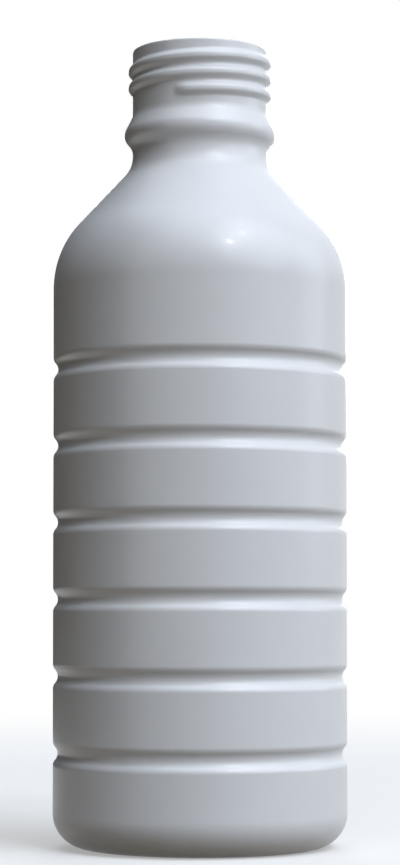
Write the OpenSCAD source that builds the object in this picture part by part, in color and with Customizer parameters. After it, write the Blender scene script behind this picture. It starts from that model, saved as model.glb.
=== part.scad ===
// Blow-moulded bottle with ring grooves: one wall, from the push-up under the base to the threaded neck.
// The origin is the centre of the standing ring, +Z runs up the axis, and -Y is the front.

/* [Body] */
// Outside diameter of the straight side
body_d = 76; // [68:1:88]
// Height at which the side starts to turn into the shoulder
side_h = 143.9; // [110:0.1:170]
// Thickness of the blown wall
wall = 1; // [0.8:0.1:1.4]

/* [Ring grooves] */
// Number of ring grooves round the side
groove_count = 6; // [0:1:12]
// Height of the lowest groove's deepest point
groove_first_h = 24.1; // [18:0.1:30]
// Distance from the highest groove's deepest point up to the end of the straight side
groove_top_gap = 20.8; // [10:0.1:34]
// Radius of the groove's floor
groove_floor_r = 2.5; // [1.8:0.1:3]
// Radius that rounds the groove's two edges
groove_edge_r = 2.3; // [1.5:0.1:2.8]
// Steepest slope of the groove's sides, in degrees from the axis
groove_angle = 42; // [25:1:50]

/* [Base] */
// Radius of the heel between the side and the standing ring
heel_r = 9; // [6.5:0.5:10]
// Width of the ring that the bottle stands on, to the sharp inner edge
ring_w = 2.7; // [2.2:0.1:4.5]
// Rise of the push-up over the standing plane
push_h = 3.2; // [2.3:0.1:4.5]
// Width of the push-up's sloping side
push_slope_w = 5.4; // [4:0.1:8]
// Radius that rounds the push-up's upper corner
push_r = 2.7; // [1.8:0.1:3.6]
// Radius that rounds the standing ring's inner edge
ring_r = 2.2; // [1.4:0.1:2.7]
// Length of the weld where the mould pinched the tube shut
pinch_l = 32; // [18:1:36]
// Thickness of that weld
pinch_t = 0.8; // [0.5:0.1:1.2]
// How far the weld stands out under the push-up
pinch_h = 0.5; // [0.3:0.1:0.9]

/* [Shoulder] */
// Radius of the turn that ends the straight side
crown_r = 25; // [16:1:45]
// How far that turn goes, in degrees from the axis
crown_angle = 20; // [8:1:30]
// Radius of the next turn, into the sloping shoulder
shoulder_r = 24; // [8:0.5:30]
// Slope of the shoulder, in degrees from the axis
shoulder_angle = 43; // [36:1:50]
// Radius of the hollow between the shoulder and the neck
neck_fillet_r = 8.4; // [6:0.1:13]

/* [Neck] */
// Outside diameter of the neck at the root of the thread
neck_d = 35; // [33:0.1:37]
// Diameter of the bore
bore_d = 31.2; // [28:0.1:31.8]
// Straight run of the neck between the hollow over the shoulder and the hollow under the bead
neck_run = 0.2; // [0.1:0.1:8]
// Radius that rounds the lip's outer edge
lip_out_r = 0.5; // [0.2:0.1:0.8]
// Radius that rounds the lip's inner edge
lip_in_r = 0.3; // [0.1:0.1:0.4]

/* [Bead] */
// How far the bead stands out of the neck
bead_out = 2.1; // [1:0.1:2.3]
// Distance from the lip down to the top of the bead's upright edge
bead_drop = 21.2; // [20.2:0.1:30]
// Height of the bead's upright edge
bead_edge_h = 2.3; // [2.1:0.1:4]
// Height of the bead's sloping top
bead_top_h = 4.1; // [3.2:0.1:4.8]
// Height of the bead's underside
bead_under_h = 2.1; // [2.1:0.1:5]
// Radius that rounds the bead's two outer edges
bead_edge_r = 3.2; // [0.5:0.1:3.4]
// Radius of the hollow over the bead
bead_top_r = 4; // [0.5:0.5:5]
// Radius of the hollow under the bead
bead_under_r = 3.6; // [0.5:0.1:3.9]

/* [Thread] */
// How far the thread's crest stands out of the neck
thread_out = 1.1; // [0.8:0.1:1.3]
// Rise of the thread in one turn
thread_pitch = 4.23; // [4:0.01:4.6]
// Number of turns
thread_turns = 2.35; // [1:0.05:2.45]
// Distance from the lip down to the middle of the thread's lower end
thread_drop = 13.2; // [13:0.1:14.2]
// Width of the thread at its root
thread_root_w = 3; // [2.2:0.1:3.2]
// Width of the thread's crest
thread_crest_w = 0.9; // [0.5:0.1:1.3]
// Where the lower end lies, in degrees from the front, to the right
thread_start = -22; // [-180:1:180]
// Length of the run-out at each end, in degrees
thread_fade = 14; // [6:1:30]

/* [Hidden] */
// Largest turn of one straight step along a rounded corner, in degrees
arc_step = 9;
// Steps of the thread in a full turn, and of a revolved outline as it is drawn
thread_steps = 40;
outline_steps = 120;
// How deep the thread and the pinch weld are rooted in the wall
root_depth = 0.4;
// Share of the thread's height at which its flank turns into the rounded crest
thread_knee_share = 0.7;
// Share of the flank's width that lies between that knee and the crest
thread_knee_w_share = 0.2;
// Height of the run-out's end as a share of the full thread
thread_end_share = 0.04;

body_r = body_d / 2;
neck_r = neck_d / 2;
bore_r = bore_d / 2;
thread_flank_w = (thread_root_w - thread_crest_w) / 2;

// Unit vector of a plane direction, and the vector turned by an angle
function unit(v) = v / norm(v);
function turned(v, angle) = [v[0] * cos(angle) - v[1] * sin(angle), v[0] * sin(angle) + v[1] * cos(angle)];
function place(corner) = [corner[0], corner[1]];
// Angle by which the outline turns at corner b, positive to the left
function turn(a, b, c) =
    let (u = unit(b - a), v = unit(c - b))
    atan2(u[0] * v[1] - u[1] * v[0], u * v);

// An outline is a list of [radius, height, rounding]. This rounds one of its corners into an arc.
function corner_arc(path, i) =
    let (
        b = place(path[i]),
        rounding = path[i][2],
        bend = turn(place(path[i - 1]), b, place(path[i + 1])),
        back = unit(place(path[i - 1]) - b),
        ahead = unit(place(path[i + 1]) - b),
        start = b + back * rounding * tan(abs(bend) / 2),
        middle = b + unit(back + ahead) * rounding / cos(bend / 2),
        steps = max(2, ceil(abs(bend) / arc_step))
    )
    rounding == 0 ? [b] : [for (k = [0:steps]) middle + turned(start - middle, bend * k / steps)];

// The whole outline with its corners rounded. Its two ends stay as they are.
function rounded(path) = [
    place(path[0]),
    for (i = [1:len(path) - 2]) each corner_arc(path, i),
    place(path[len(path) - 1])
];

// The same outline moved to its left by a distance, with each rounding kept parallel
function inset_corner(path, i, distance) =
    let (
        b = place(path[i]),
        before = i == 0 ? place(path[1]) - b : b - place(path[i - 1]),
        after = i == len(path) - 1 ? before : place(path[i + 1]) - b,
        n1 = turned(unit(before), 90),
        n2 = turned(unit(after), 90),
        bend = i == 0 || i == len(path) - 1 ? 0 : turn(b - before, b, b + after),
        moved = b + (n1 + n2) * distance / (1 + n1 * n2)
    )
    [moved[0], moved[1], path[i][2] == 0 ? 0 : path[i][2] - sign(bend) * distance];
function inset(path, distance) = [for (i = [0:len(path) - 1]) inset_corner(path, i, distance)];

// The grooves stand evenly between the lowest and the highest of them
groove_pitch = (side_h - groove_top_gap - groove_first_h) / max(1, groove_count - 1);
// Groove sides run straight between the two edge roundings and the floor's rounding
groove_flank = groove_floor_r * tan(groove_angle) + groove_edge_r * tan(groove_angle / 2);
groove_half_h = groove_flank * cos(groove_angle);
groove_corner_in = groove_flank * sin(groove_angle);
function groove_corners(middle_h) = [
    [body_r, middle_h - groove_half_h, groove_edge_r],
    [body_r - groove_corner_in, middle_h, groove_floor_r],
    [body_r, middle_h + groove_half_h, groove_edge_r]
];

// Shoulder corners: the two turns, each ending where the next part starts
crown_leg = crown_r * tan(crown_angle / 2);
shoulder_leg = shoulder_r * tan((shoulder_angle - crown_angle) / 2);
crown_corner = [body_r, side_h + crown_leg];
shoulder_corner = crown_corner + (crown_leg + shoulder_leg) * [-sin(crown_angle), cos(crown_angle)];
neck_corner_h = shoulder_corner[1] + (shoulder_corner[0] - neck_r) / tan(shoulder_angle);

// Heights up the neck, each standing on the one before
hollow_top_h = neck_corner_h + neck_fillet_r * tan(shoulder_angle / 2);
bead_slope = atan2(bead_out, bead_under_h);
bead_foot_h = hollow_top_h + neck_run + bead_under_r * tan(bead_slope / 2);
bead_edge_foot_h = bead_foot_h + bead_under_h;
bead_edge_top_h = bead_edge_foot_h + bead_edge_h;
lip_h = bead_edge_top_h + bead_drop;

// Outside of the wall, from the middle of the push-up round the heel to the shoulder's slope
ring_out_r = body_r - heel_r;
ring_in_r = ring_out_r - ring_w;
base_and_side = [
    [0, push_h, 0],
    [ring_in_r - push_slope_w, push_h, push_r],
    [ring_in_r, 0, ring_r],
    [body_r, 0, heel_r],
    for (i = [0:1:groove_count - 1]) each groove_corners(groove_first_h + i * groove_pitch),
    [crown_corner[0], crown_corner[1], crown_r],
    [shoulder_corner[0], shoulder_corner[1], shoulder_r]
];
shoulder_top = [neck_r, neck_corner_h, neck_fillet_r];

// Outside of the neck, from the hollow over the shoulder to the lip
neck_outside = [
    shoulder_top,
    [neck_r, bead_foot_h, bead_under_r],
    [neck_r + bead_out, bead_edge_foot_h, bead_edge_r],
    [neck_r + bead_out, bead_edge_top_h, bead_edge_r],
    [neck_r, bead_edge_top_h + bead_top_h, bead_top_r],
    [neck_r, lip_h, lip_out_r],
    [bore_r, lip_h, lip_in_r]
];

// Inside of the wall: the same outline one wall thickness in, up to where it meets the straight bore
inside_full = inset(concat(base_and_side, [shoulder_top]), wall);
inside_shoulder = inside_full[len(inside_full) - 2];
bore_foot_h = inside_shoulder[1] + (inside_shoulder[0] - bore_r) / tan(shoulder_angle);
inside = concat(
    [for (i = [0:len(inside_full) - 2]) inside_full[i]],
    [[bore_r, bore_foot_h, neck_fillet_r + wall]]
);

function reversed(list) = [for (i = [len(list) - 1:-1:0]) list[i]];

// The wall as one turned solid
module wall_shell() {
    outline = concat(base_and_side, neck_outside, reversed(inside));
    rotate_extrude($fn = outline_steps) polygon(rounded(outline));
}

// Thread section at one step: [distance out of the neck, height from the section's middle].
// Its foot lies inside the wall, on the line of the flank, so the flank cuts the neck cleanly.
function thread_section(size) =
    let (
        crest = [thread_out * size, thread_crest_w / 2],
        knee = [thread_out * size * thread_knee_share, thread_crest_w / 2 + thread_flank_w * thread_knee_w_share],
        foot = [-root_depth, thread_root_w / 2 + thread_flank_w * root_depth / thread_out],
        upper = [crest, knee, foot]
    )
    concat([for (i = [2:-1:0]) [upper[i][0], -upper[i][1]]], upper);
// The thread swells from its lower end and fades again at its upper end
thread_sweep = thread_turns * 360;
function thread_size(angle) =
    let (from_end = min(angle, thread_sweep - angle))
    from_end >= thread_fade ? 1
        : thread_end_share + (1 - thread_end_share) * sin(90 * from_end / thread_fade);

// Right-hand thread, swept round the neck as one closed skin
module neck_thread() {
    steps = ceil(thread_turns * thread_steps);
    sides = len(thread_section(1));
    points = [
        for (k = [0:steps])
            let (angle = thread_sweep * k / steps, at = angle + thread_start - 90)
            for (p = thread_section(thread_size(angle)))
                [
                    (neck_r + p[0]) * cos(at),
                    (neck_r + p[0]) * sin(at),
                    lip_h - thread_drop + thread_pitch * angle / 360 + p[1]
                ]
    ];
    skin = [
        for (k = [0:steps - 1])
            for (j = [0:sides - 1])
                let (a = k * sides + j, b = k * sides + (j + 1) % sides)
                each [[a, b, b + sides], [a, b + sides, a + sides]]
    ];
    lower_end = [for (j = [1:sides - 2]) [0, j + 1, j]];
    upper_end = [for (j = [1:sides - 2]) let (first = steps * sides) [first, first + j, first + j + 1]];
    polyhedron(points = points, faces = concat(skin, lower_end, upper_end), convexity = 6);
}

// Weld that the mould's halves leave across the push-up
module pinch_weld() {
    translate([-pinch_l / 2, -pinch_t / 2, push_h - pinch_h])
        cube([pinch_l, pinch_t, pinch_h + root_depth]);
}

module bottle() {
    color("whitesmoke") {
        wall_shell();
        neck_thread();
        pinch_weld();
    }
}

bottle();
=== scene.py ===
import math

import bmesh
import bpy
import numpy as np
from mathutils import Matrix, Vector

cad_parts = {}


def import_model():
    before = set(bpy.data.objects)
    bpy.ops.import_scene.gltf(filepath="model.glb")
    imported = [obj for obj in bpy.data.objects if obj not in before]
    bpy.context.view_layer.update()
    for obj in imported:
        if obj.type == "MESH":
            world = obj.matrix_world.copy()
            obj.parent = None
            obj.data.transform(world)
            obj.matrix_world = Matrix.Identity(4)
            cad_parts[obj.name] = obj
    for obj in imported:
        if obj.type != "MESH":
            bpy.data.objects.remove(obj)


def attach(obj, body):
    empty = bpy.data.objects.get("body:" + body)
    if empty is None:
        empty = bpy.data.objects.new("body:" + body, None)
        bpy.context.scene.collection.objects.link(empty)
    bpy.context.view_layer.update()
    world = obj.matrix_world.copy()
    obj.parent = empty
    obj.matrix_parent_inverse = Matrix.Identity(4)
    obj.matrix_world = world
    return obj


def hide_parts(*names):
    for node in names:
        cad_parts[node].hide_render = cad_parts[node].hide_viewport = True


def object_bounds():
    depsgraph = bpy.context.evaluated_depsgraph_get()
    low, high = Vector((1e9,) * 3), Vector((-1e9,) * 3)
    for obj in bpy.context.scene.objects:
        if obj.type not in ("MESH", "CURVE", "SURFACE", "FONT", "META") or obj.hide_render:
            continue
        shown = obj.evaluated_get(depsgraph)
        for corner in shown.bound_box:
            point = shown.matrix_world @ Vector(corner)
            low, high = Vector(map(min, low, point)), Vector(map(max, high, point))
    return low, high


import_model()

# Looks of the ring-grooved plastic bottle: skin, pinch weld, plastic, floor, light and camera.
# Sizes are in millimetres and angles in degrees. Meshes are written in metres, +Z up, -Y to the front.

cad_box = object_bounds()

MM = 0.001

# Body
BODY_R = 38.0
SIDE_H = 143.9
WALL = 1.0

# Ring grooves
GROOVE_COUNT = 6
GROOVE_FIRST_H = 24.1
GROOVE_TOP_GAP = 20.8
GROOVE_PITCH = (SIDE_H - GROOVE_TOP_GAP - GROOVE_FIRST_H) / (GROOVE_COUNT - 1)
GROOVE_FLOOR_R = 2.5
GROOVE_EDGE_R = 2.3
GROOVE_ANGLE = 42.0

# Base
HEEL_R = 9.0
RING_W = 2.7
PUSH_H = 3.2
PUSH_SLOPE_W = 5.4
PUSH_R = 2.7
RING_R = 2.2

# Pinch weld under the push-up
PINCH_L = 32.0
PINCH_T = 0.8
PINCH_H = 0.5
PINCH_ROOT = 0.4
PINCH_BEVEL = 0.22
PINCH_BEVEL_STEPS = 3
ROUND_PROFILE = 0.5

# Shoulder
CROWN_R = 25.0
CROWN_ANGLE = 20.0
SHOULDER_R = 24.0
SHOULDER_ANGLE = 43.0
NECK_FILLET_R = 8.4

# Neck and bead
NECK_R = 17.5
BORE_R = 15.6
NECK_RUN = 0.2
LIP_OUT_R = 0.5
LIP_IN_R = 0.3
BEAD_OUT = 2.1
BEAD_DROP = 21.2
BEAD_EDGE_H = 2.3
BEAD_TOP_H = 4.1
BEAD_UNDER_H = 2.1
BEAD_EDGE_R = 3.2
BEAD_TOP_R = 4.0
BEAD_UNDER_R = 3.6

# Thread: one right-hand start, swelling from its lower end and fading at its upper end
THREAD_OUT = 1.1
THREAD_PITCH = 4.23
THREAD_TURNS = 2.35
THREAD_DROP = 13.2
THREAD_ROOT_W = 4.1
THREAD_CREST_W = 0.6
THREAD_START = -22.0
THREAD_FADE = 14.0

# Relief of the blown skin
UNEVEN_DEPTH = 0.06
PARTING_H = 0.05
PARTING_W = 0.14
# Waves of the skin: waves round, wavelength upwards, turn of the crest, share of the depth
SKIN_WAVES = [
    (2, 86.0, 20.0, 0.34),
    (3, 55.0, 110.0, 0.26),
    (5, 39.0, 65.0, 0.22),
    (8, 28.0, 200.0, 0.18),
]

# Fineness of the mesh
COLUMNS = 132
PARTING_COLUMNS = [0.16, 0.41, 0.82]
ARC_STEP = 6.0
ARC_LENGTH = 1.2
OUTER_ROW = 1.7
INNER_ROW = 4.0
INNER_ARC_STEP = 14.0
THREAD_ROW = 0.21
EDGE_ROW = 0.25
SAME_POINT = 0.01

# Camera, read from the curves of the ring grooves in the 400 x 865 frame
PHOTO_H = 865
CAMERA_DISTANCE = 646.7
CAMERA_H = 60.3
CAMERA_PITCH = 2.25
CAMERA_FOCUS_PX = 2500.6
HORIZON_PX = 612.5
SENSOR_W = 36.0
CLIP_START_M = 0.01
CLIP_END_M = 50.0


def tan(angle):
    return math.tan(math.radians(angle))


def sin(angle):
    return math.sin(math.radians(angle))


def cos(angle):
    return math.cos(math.radians(angle))


def turned(v, angle):
    """A plane vector turned to the left by an angle."""
    return np.array([v[0] * cos(angle) - v[1] * sin(angle), v[0] * sin(angle) + v[1] * cos(angle)])


def unit(v):
    return v / np.linalg.norm(v)


def bend_at(a, b, c):
    """Angle by which an outline turns at corner b, positive to the left."""
    u, v = unit(b - a), unit(c - b)
    return math.degrees(math.atan2(u[0] * v[1] - u[1] * v[0], u @ v))


def rounded(corners, outer_count):
    """Turns (radius, height, rounding) corners into [radius, height, 1 outside or 0 inside] points."""
    at = [np.array(c[:2], float) for c in corners]
    points = [[*at[0], 1]]
    for i in range(1, len(corners) - 1):
        is_outer = int(i < outer_count)
        rounding = corners[i][2]
        if rounding == 0:
            points.append([*at[i], is_outer])
            continue
        bend = bend_at(at[i - 1], at[i], at[i + 1])
        back, ahead = unit(at[i - 1] - at[i]), unit(at[i + 1] - at[i])
        start = at[i] + back * rounding * tan(abs(bend) / 2)
        middle = at[i] + unit(back + ahead) * rounding / cos(bend / 2)
        length = rounding * math.radians(abs(bend))
        arc_step = ARC_STEP if is_outer else INNER_ARC_STEP
        steps = max(3, math.ceil(abs(bend) / arc_step), math.ceil(length / ARC_LENGTH))
        spoke = start - middle
        arc = [[*(middle + turned(spoke, bend * k / steps)), is_outer] for k in range(steps + 1)]
        starts_here = math.dist(points[-1][:2], arc[0][:2]) < SAME_POINT
        points += arc[1:] if starts_here else arc
    points.append([*at[-1], 0])
    return points


def inset(corners, distance):
    """The same outline moved to its left, with each rounding kept parallel."""
    at = [np.array(c[:2], float) for c in corners]
    moved = []
    for i, corner in enumerate(corners):
        is_end = i in (0, len(corners) - 1)
        before = at[i] - at[i - 1] if i else at[1] - at[0]
        after = before if is_end else at[i + 1] - at[i]
        n1, n2 = turned(unit(before), 90), turned(unit(after), 90)
        place = at[i] + (n1 + n2) * distance / (1 + n1 @ n2)
        rounding = corner[2]
        if rounding and not is_end:
            rounding -= math.copysign(distance, bend_at(at[i - 1], at[i], at[i + 1]))
        moved.append((place[0], place[1], rounding))
    return moved


def base_and_side():
    """Corners from the middle of the push-up, round the heel and up to the shoulder's slope."""
    flank = GROOVE_FLOOR_R * tan(GROOVE_ANGLE) + GROOVE_EDGE_R * tan(GROOVE_ANGLE / 2)
    half_h, depth = flank * cos(GROOVE_ANGLE), flank * sin(GROOVE_ANGLE)
    ring_in = BODY_R - HEEL_R - RING_W
    corners = [
        (0, PUSH_H, 0),
        (ring_in - PUSH_SLOPE_W, PUSH_H, PUSH_R),
        (ring_in, 0, RING_R),
        (BODY_R, 0, HEEL_R),
    ]
    for i in range(GROOVE_COUNT):
        middle = GROOVE_FIRST_H + i * GROOVE_PITCH
        corners += [
            (BODY_R, middle - half_h, GROOVE_EDGE_R),
            (BODY_R - depth, middle, GROOVE_FLOOR_R),
            (BODY_R, middle + half_h, GROOVE_EDGE_R),
        ]
    crown_leg = CROWN_R * tan(CROWN_ANGLE / 2)
    leg = crown_leg + SHOULDER_R * tan((SHOULDER_ANGLE - CROWN_ANGLE) / 2)
    crown = (BODY_R, SIDE_H + crown_leg)
    shoulder = (crown[0] - leg * sin(CROWN_ANGLE), crown[1] + leg * cos(CROWN_ANGLE))
    return corners + [(*crown, CROWN_R), (*shoulder, SHOULDER_R)]


def neck_corner(side):
    """Where the shoulder's slope would meet the neck."""
    r, h, _ = side[-1]
    return (NECK_R, h + (r - NECK_R) / tan(SHOULDER_ANGLE), NECK_FILLET_R)


def neck_outside(corner_h):
    """Corners of the bead and the neck, up to the inner edge of the lip."""
    bead_slope = math.degrees(math.atan2(BEAD_OUT, BEAD_UNDER_H))
    hollow_top = corner_h + NECK_FILLET_R * tan(SHOULDER_ANGLE / 2)
    bead_foot = hollow_top + NECK_RUN + BEAD_UNDER_R * tan(bead_slope / 2)
    edge_foot = bead_foot + BEAD_UNDER_H
    edge_top = edge_foot + BEAD_EDGE_H
    lip_h = edge_top + BEAD_DROP
    return [
        (NECK_R, corner_h, NECK_FILLET_R),
        (NECK_R, bead_foot, BEAD_UNDER_R),
        (NECK_R + BEAD_OUT, edge_foot, BEAD_EDGE_R),
        (NECK_R + BEAD_OUT, edge_top, BEAD_EDGE_R),
        (NECK_R, edge_top + BEAD_TOP_H, BEAD_TOP_R),
        (NECK_R, lip_h, LIP_OUT_R),
        (BORE_R, lip_h, LIP_IN_R),
    ]


def inside(side, corner):
    """Corners of the inner wall, from its foot to where the shoulder meets the bore."""
    moved = inset(side + [corner], WALL)
    r, h, _ = moved[-2]
    bore_foot = h + (r - BORE_R) / tan(SHOULDER_ANGLE)
    return moved[:-1] + [(BORE_R, bore_foot, NECK_FILLET_R + WALL)]


def divided(points, thread_foot):
    """Adds rows to long straight runs, with one close to each end so that shading stays crisp."""
    out = [points[0]]
    for a, b in zip(points, points[1:]):
        start, end = np.array(a[:2]), np.array(b[:2])
        length = np.linalg.norm(end - start)
        on_neck = b[2] and abs(a[0] - NECK_R) + abs(b[0] - NECK_R) < SAME_POINT and b[1] > thread_foot
        step = THREAD_ROW if on_neck else OUTER_ROW if b[2] else INNER_ROW
        if length > step:
            stops = np.linspace(EDGE_ROW, length - EDGE_ROW, max(2, math.ceil(length / step)))
            out += [[*(start + (end - start) * t / length), b[2]] for t in stops]
        out.append(b)
    return np.array(out)


def thread_size(angle):
    """Height of the thread as a share, from nothing at its two ends."""
    sweep = THREAD_TURNS * 360
    from_end = np.minimum(angle, sweep - angle)
    return np.sin(np.radians(90 * np.clip(from_end / THREAD_FADE, 0, 1)))


def thread_relief(azimuth, height, lip_h):
    """How far the thread stands out at each azimuth and height of the neck."""
    out = np.zeros(np.broadcast(azimuth, height).shape)
    first = (azimuth + 90 - THREAD_START) % 360
    for turn in range(math.ceil(THREAD_TURNS) + 1):
        angle = first + 360 * turn
        middle = lip_h - THREAD_DROP + THREAD_PITCH * angle / 360
        from_crest = np.abs(height - middle) - THREAD_CREST_W / 2
        flank = np.clip(from_crest * 2 / (THREAD_ROOT_W - THREAD_CREST_W), 0, 1)
        ridge = THREAD_OUT * thread_size(angle) * (0.5 + 0.5 * np.cos(np.pi * flank))
        out = np.maximum(out, ridge)
    return out


def skin_relief(azimuth, radius, height):
    """Slight unevenness of the blown wall and the fine line where the mould's halves met."""
    waves = sum(
        share * np.cos(np.radians(count * azimuth + phase)) * np.cos(2 * np.pi * height / length + phase)
        for count, length, phase, share in SKIN_WAVES
    )
    fade = np.clip(np.minimum(height - HEEL_R, SIDE_H - height) / HEEL_R, 0, 1)
    uneven = UNEVEN_DEPTH * fade * (0.5 * waves - 0.5)
    above_heel = np.clip(height / HEEL_R, 0, 1)
    across = radius * np.sin(np.radians(azimuth))
    line = PARTING_H * np.exp(-((across / PARTING_W) ** 2)) * above_heel
    return np.minimum(uneven - PARTING_H * above_heel + line, 0)


def columns():
    """Azimuths of the mesh's upright lines, closer together at the mould's parting line."""
    # The two regular lines that would lie on the parting line give way to its own
    parting = [0.0, *PARTING_COLUMNS, *[-a for a in PARTING_COLUMNS]]
    regular = [360 * k / COLUMNS for k in range(COLUMNS) if 2 * k % COLUMNS]
    return np.array(sorted(regular + [a % 360 for a in parting] + [a + 180 for a in parting]))


def lathe_faces(rings, count):
    """Quads between rings of points, and a fan from the first and the last ring to its pole."""
    faces = []
    last = rings - 1
    for i in range(last):
        for j in range(count):
            k = (j + 1) % count
            faces.append((i * count + j, i * count + k, (i + 1) * count + k, (i + 1) * count + j))
    outer_pole, inner_pole = rings * count, rings * count + 1
    for j in range(count):
        k = (j + 1) % count
        faces.append((outer_pole, k, j))
        faces.append((inner_pole, last * count + j, last * count + k))
    return faces


def lathe(outline, lip_h):
    """One closed skin turned from the outline, with its relief on the outside."""
    azimuth = columns()
    path, is_outer = outline[:, :2], outline[:, 2:3] > 0
    ahead = np.gradient(path, axis=0)
    normal = np.stack([ahead[:, 1], -ahead[:, 0]], 1)
    normal /= np.linalg.norm(normal, axis=1)[:, None]
    rows = slice(1, len(path) - 1)
    r, h = path[rows, 0:1], path[rows, 1:2]
    n, is_outer = normal[rows], is_outer[rows]
    out = np.where(is_outer, skin_relief(azimuth[None], r, h), 0)
    on_neck = is_outer & (np.abs(r - NECK_R) < SAME_POINT)
    out = out + np.where(on_neck, thread_relief(azimuth[None], h, lip_h), 0)
    radius, height = r + out * n[:, 0:1], h + out * n[:, 1:2]
    turn = np.radians(azimuth)[None]
    x, y = radius * np.cos(turn), radius * np.sin(turn)
    points = np.stack([x, y, height + 0 * turn], 2).reshape(-1, 3)
    points = np.vstack([points, [0, 0, path[0, 1]], [0, 0, path[-1, 1]]])
    return points * MM, lathe_faces(len(r), len(azimuth))


def put_in_scene(name, data):
    added = bpy.data.objects.new(name, data)
    bpy.context.scene.collection.objects.link(added)
    return added


def new_mesh(name, points, faces):
    mesh = bpy.data.meshes.new(name)
    mesh.from_pydata([tuple(p) for p in points], [], faces)
    mesh.validate()
    mesh.shade_smooth()
    return put_in_scene(name, mesh)


def bottle():
    """The moulded skin from the push-up to the lip and down the inside."""
    side = base_and_side()
    corner = neck_corner(side)
    outer = side + neck_outside(corner[1])
    lip_h = outer[-1][1]
    outline = rounded(outer + inside(side, corner)[::-1], len(outer))
    thread_foot = lip_h - THREAD_DROP - THREAD_ROOT_W
    return new_mesh("moulded_skin", *lathe(divided(outline, thread_foot), lip_h))


def pinch_weld():
    """The raised seam under the push-up where the mould's halves cut the tube."""
    mesh = bmesh.new()
    bmesh.ops.create_cube(mesh, size=1)
    depth = PINCH_H + PINCH_ROOT
    size = Vector((PINCH_L, PINCH_T, depth)) * MM
    centre = Vector((0, 0, PUSH_H - PINCH_H + depth / 2)) * MM
    place = Matrix.Translation(centre) @ Matrix.Diagonal((*size, 1))
    bmesh.ops.transform(mesh, matrix=place, verts=mesh.verts)
    bmesh.ops.bevel(
        mesh,
        geom=mesh.edges[:],
        offset=PINCH_BEVEL * MM,
        segments=PINCH_BEVEL_STEPS,
        affect="EDGES",
        profile=ROUND_PROFILE,
    )
    data = bpy.data.meshes.new("pinch_weld")
    mesh.to_mesh(data)
    mesh.free()
    data.shade_smooth()
    return put_in_scene("pinch_weld", data)


# White plastic: shades from dark to light, noise scales per metre, bumps as depth in metres and strength
SHADE_DARK = (0.775, 0.79, 0.815)
SHADE_MIDDLE = (0.795, 0.805, 0.825)
SHADE_LIGHT = (0.815, 0.823, 0.838)
CLOUD_SCALE = 26
MOTTLE_SCALE = 240
DIE_LINE_SCALES = (420, 420, 7)
DIE_LINE_BUMP = (0.00004, 0.35)
WAVE_SCALE = 85
WAVE_BUMP = (0.00025, 0.25)
GRAIN_SCALE = 2600
GRAIN_BUMP = (0.00002, 0.3)
SHEEN_SCALE = 55
ROUGHNESS_LOW = 0.29
ROUGHNESS_HIGH = 0.37
PLASTIC_IOR = 1.54
GLOSS_SHARE = 0.12
GLOSS_ROUGHNESS = 0.08
DEPTH_GLOW = 0.12
DEPTH_REACH = 0.0015
DEPTH_TINT = (1.0, 0.95, 0.9)
# Usual range of a noise node's value
NOISE_LOW = 0.3
NOISE_HIGH = 0.7


class Nodes:
    """Short calls for a material's or the world's node tree."""

    def __init__(self, owner):
        owner.use_nodes = True
        self.tree = owner.node_tree

    def add(self, kind, **values):
        node = self.tree.nodes.new("ShaderNode" + kind)
        for name, value in values.items():
            setattr(node, name, value)
        return node

    def set(self, node, **inputs):
        for name, value in inputs.items():
            node.inputs[name.replace("_", " ")].default_value = value
        return node

    def link(self, source, target):
        self.tree.links.new(source, target)

    def noise(self, where, scale, detail=2.0, roughness=0.5):
        node = self.add("TexNoise")
        self.set(node, Scale=scale, Detail=detail, Roughness=roughness)
        self.link(where, node.inputs["Vector"])
        return node.outputs["Fac"]

    def spread(self, value, low, high):
        """Maps noise from its usual range to another one."""
        node = self.add("MapRange")
        self.set(node, From_Min=NOISE_LOW, From_Max=NOISE_HIGH, To_Min=low, To_Max=high)
        self.link(value, node.inputs["Value"])
        return node.outputs["Result"]

    def stretched(self, where, scale):
        node = self.add("Mapping")
        node.inputs["Scale"].default_value = scale
        self.link(where, node.inputs["Vector"])
        return node.outputs["Vector"]

    def mix(self, factor, a, b):
        node = self.add("Mix", data_type="RGBA")
        self.link(factor, node.inputs["Factor"])
        colours = [s for s in node.inputs if s.type == "RGBA"]
        for socket, value in zip(colours, (a, b)):
            if isinstance(value, bpy.types.NodeSocket):
                self.link(value, socket)
            else:
                socket.default_value = (*value, 1)
        return next(s for s in node.outputs if s.type == "RGBA")

    def bump(self, height, distance, strength, normal=None):
        node = self.add("Bump")
        self.set(node, Distance=distance, Strength=strength)
        self.link(height, node.inputs["Height"])
        if normal:
            self.link(normal, node.inputs["Normal"])
        return node.outputs["Normal"]


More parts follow.
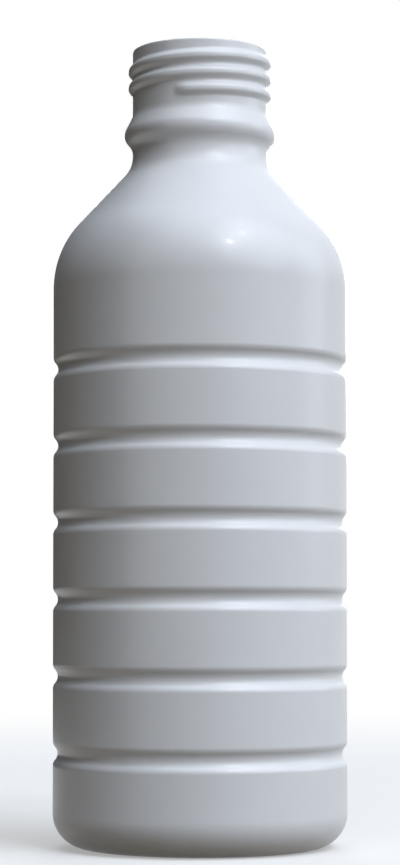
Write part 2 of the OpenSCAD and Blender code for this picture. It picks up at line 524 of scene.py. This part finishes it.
def white_plastic():
    """Satin-gloss blown polyethylene: cloudy white, faint upright die lines, a fine grain."""
    material = bpy.data.materials.new("white_plastic")
    n = Nodes(material)
    shader = n.tree.nodes["Principled BSDF"]
    place = n.add("TexCoord").outputs["Object"]
    cloud = n.spread(n.noise(place, CLOUD_SCALE, detail=3), 0, 1)
    mottle = n.spread(n.noise(place, MOTTLE_SCALE, detail=2), 0, 1)
    fine = n.mix(mottle, SHADE_DARK, SHADE_MIDDLE)
    n.link(n.mix(cloud, fine, SHADE_LIGHT), shader.inputs["Base Color"])
    die_lines = n.noise(n.stretched(place, DIE_LINE_SCALES), 1, detail=2)
    grain = n.noise(place, GRAIN_SCALE, detail=2)
    waves = n.noise(place, WAVE_SCALE, detail=1)
    sheen = n.noise(place, SHEEN_SCALE, detail=4)
    n.link(n.spread(sheen, ROUGHNESS_LOW, ROUGHNESS_HIGH), shader.inputs["Roughness"])
    lined = n.bump(die_lines, *DIE_LINE_BUMP)
    waved = n.bump(waves, *WAVE_BUMP, lined)
    n.link(n.bump(grain, *GRAIN_BUMP, waved), shader.inputs["Normal"])
    n.set(shader, IOR=PLASTIC_IOR, Coat_Weight=GLOSS_SHARE, Coat_Roughness=GLOSS_ROUGHNESS)
    n.set(shader, Subsurface_Weight=DEPTH_GLOW, Subsurface_Scale=DEPTH_REACH)
    n.set(shader, Subsurface_Radius=DEPTH_TINT)
    return material


# Stage and light, in metres
MATT_ROUGHNESS = 0.9
FLOOR_REACH = 4.0
FLOOR_PALE = (0.92, 0.92, 0.92)
FLOOR_BOUNCE = (0.17, 0.135, 0.095)
FLOOR_SHADE_FROM = 0.25
FLOOR_SHADE_TO = 0.9
FLOOR_SHADE_LIFT = 0.35
ROOM_GLOW = (0.018, 0.016, 0.013)
CARD_REACH = 0.6
CARD_H = 1.0
CARD_FROM = -172
CARD_TO = -55
CARD_STEPS = 24
CARD_COLOUR = (0.05, 0.05, 0.045)
LAMP_DISTANCE = 6.0
# Lamps: azimuth from the front to the right, elevation, width of the disk,
# strength as the light on a surface that faces the lamp, colour
LAMPS = {
    "top": (0, 86, 6.0, 0.17, (0.8, 0.88, 1.0)),
    "front": (10, 60, 6.5, 0.31, (0.86, 0.92, 1.0)),
    "right": (52, 40, 6.5, 0.7, (0.81, 0.885, 1.0)),
    "side_right": (100, 18, 3.5, 0.135, (0.88, 0.94, 1.0)),
    "sparkle": (28, 42, 0.5, 0.1, (0.93, 0.97, 1.0)),
    "second_sparkle": (46, 52, 0.5, 0.05, (0.93, 0.97, 1.0)),
    "back": (178, 16, 3.0, 0.45, (0.95, 0.98, 1.0)),
}


def seen_directly(n):
    """1 for camera, glossy and transmission rays, 0 for the light that falls on the object."""
    path = n.add("LightPath")
    first = n.add("Math", operation="MAXIMUM")
    n.link(path.outputs["Is Camera Ray"], first.inputs[0])
    n.link(path.outputs["Is Glossy Ray"], first.inputs[1])
    second = n.add("Math", operation="MAXIMUM")
    n.link(first.outputs[0], second.inputs[0])
    n.link(path.outputs["Is Transmission Ray"], second.inputs[1])
    return second.outputs[0]


def floor_material():
    """Pale matt floor that keeps the shadow near the bottle and runs into the white background."""
    material = bpy.data.materials.new("pale_floor")
    n = Nodes(material)
    n.tree.nodes.clear()
    seen = seen_directly(n)
    matt = n.set(n.add("BsdfPrincipled"), Roughness=MATT_ROUGHNESS, Specular_IOR_Level=0)
    n.link(n.mix(seen, FLOOR_BOUNCE, FLOOR_PALE), matt.inputs["Base Color"])
    white = n.set(n.add("Emission"), Strength=1.0)
    away = n.add("VectorMath", operation="LENGTH")
    n.link(n.add("NewGeometry").outputs["Position"], away.inputs[0])
    fade = n.add("MapRange", interpolation_type="SMOOTHSTEP")
    n.set(fade, From_Min=FLOOR_SHADE_FROM, From_Max=FLOOR_SHADE_TO, To_Min=FLOOR_SHADE_LIFT)
    n.link(away.outputs["Value"], fade.inputs["Value"])
    far_and_seen = n.add("Math", operation="MULTIPLY")
    n.link(fade.outputs["Result"], far_and_seen.inputs[0])
    n.link(seen, far_and_seen.inputs[1])
    both = n.add("MixShader")
    n.link(far_and_seen.outputs[0], both.inputs["Fac"])
    n.link(matt.outputs["BSDF"], both.inputs[1])
    n.link(white.outputs["Emission"], both.inputs[2])
    n.link(both.outputs["Shader"], n.add("OutputMaterial").inputs["Surface"])
    return material


def floor():
    reach = FLOOR_REACH
    corners = [(-reach, -reach, 0), (reach, -reach, 0), (reach, reach, 0), (-reach, reach, 0)]
    piece = new_mesh("floor", corners, [(0, 1, 2, 3)])
    piece.data.materials.append(floor_material())
    return piece


def dark_card():
    """A dark curved card at the left, seen only in reflections, that keeps the left edge deep."""
    turns = np.linspace(CARD_FROM, CARD_TO, CARD_STEPS)
    foot = [Vector((sin(a), -cos(a), 0)) * CARD_REACH for a in turns]
    points = foot + [p + Vector((0, 0, CARD_H)) for p in foot]
    faces = [(i, i + 1, CARD_STEPS + i + 1, CARD_STEPS + i) for i in range(CARD_STEPS - 1)]
    piece = new_mesh("dark_card", points, faces)
    piece.visible_camera = False
    piece.visible_diffuse = False
    piece.visible_shadow = False
    material = bpy.data.materials.new("dark_card")
    n = Nodes(material)
    n.set(n.tree.nodes["Principled BSDF"], Base_Color=(*CARD_COLOUR, 1), Roughness=MATT_ROUGHNESS)
    piece.data.materials.append(material)
    return piece


def world():
    """White to the camera and in reflections, a dim glow for the light on the object."""
    scene_world = bpy.data.worlds.new("room")
    bpy.context.scene.world = scene_world
    n = Nodes(scene_world)
    n.tree.nodes.clear()
    back = n.add("Background")
    n.link(n.mix(seen_directly(n), ROOM_GLOW, (1, 1, 1)), back.inputs["Color"])
    n.link(back.outputs["Background"], n.add("OutputWorld").inputs["Surface"])


def direction(azimuth, elevation):
    """Unit vector from the bottle, with the azimuth counted from the front to the right."""
    return Vector((sin(azimuth) * cos(elevation), -cos(azimuth) * cos(elevation), sin(elevation)))


def lamps(centre):
    """Round soft lamps that all face the middle of the bottle."""
    for name, (azimuth, elevation, size, strength, colour) in LAMPS.items():
        light = bpy.data.lights.new(name, "AREA")
        light.shape = "DISK"
        light.size = size
        light.color = colour
        light.energy = strength * math.pi ** 2 * LAMP_DISTANCE ** 2
        lamp = put_in_scene(name, light)
        away = direction(azimuth, elevation)
        lamp.location = centre + away * LAMP_DISTANCE
        lamp.rotation_mode = "QUATERNION"
        lamp.rotation_quaternion = away.to_track_quat("Z", "Y")
        lamp.visible_camera = False


def camera():
    """The photograph's view: slightly upward, with the rest of the framing as a small shift."""
    data = bpy.data.cameras.new("camera")
    data.sensor_width = SENSOR_W
    data.lens = CAMERA_FOCUS_PX * data.sensor_width / PHOTO_H
    data.shift_y = (HORIZON_PX - PHOTO_H / 2 - CAMERA_FOCUS_PX * tan(CAMERA_PITCH)) / PHOTO_H
    data.clip_start = CLIP_START_M
    data.clip_end = CLIP_END_M
    holder = put_in_scene("camera", data)
    holder.location = (0, -CAMERA_DISTANCE * MM, CAMERA_H * MM)
    holder.rotation_euler = (math.radians(90 + CAMERA_PITCH), 0, 0)
    bpy.context.scene.camera = holder


plastic = white_plastic()
skin = bottle()
skin.data.materials.append(plastic)
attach(skin, "root")
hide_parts("bottle")

weld = pinch_weld()
weld.data.materials.append(plastic)
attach(weld, "root")

floor()
dark_card()
world()
lamps((cad_box[0] + cad_box[1]) / 2)
camera()

view = bpy.context.scene.view_settings
view.view_transform = "Standard"
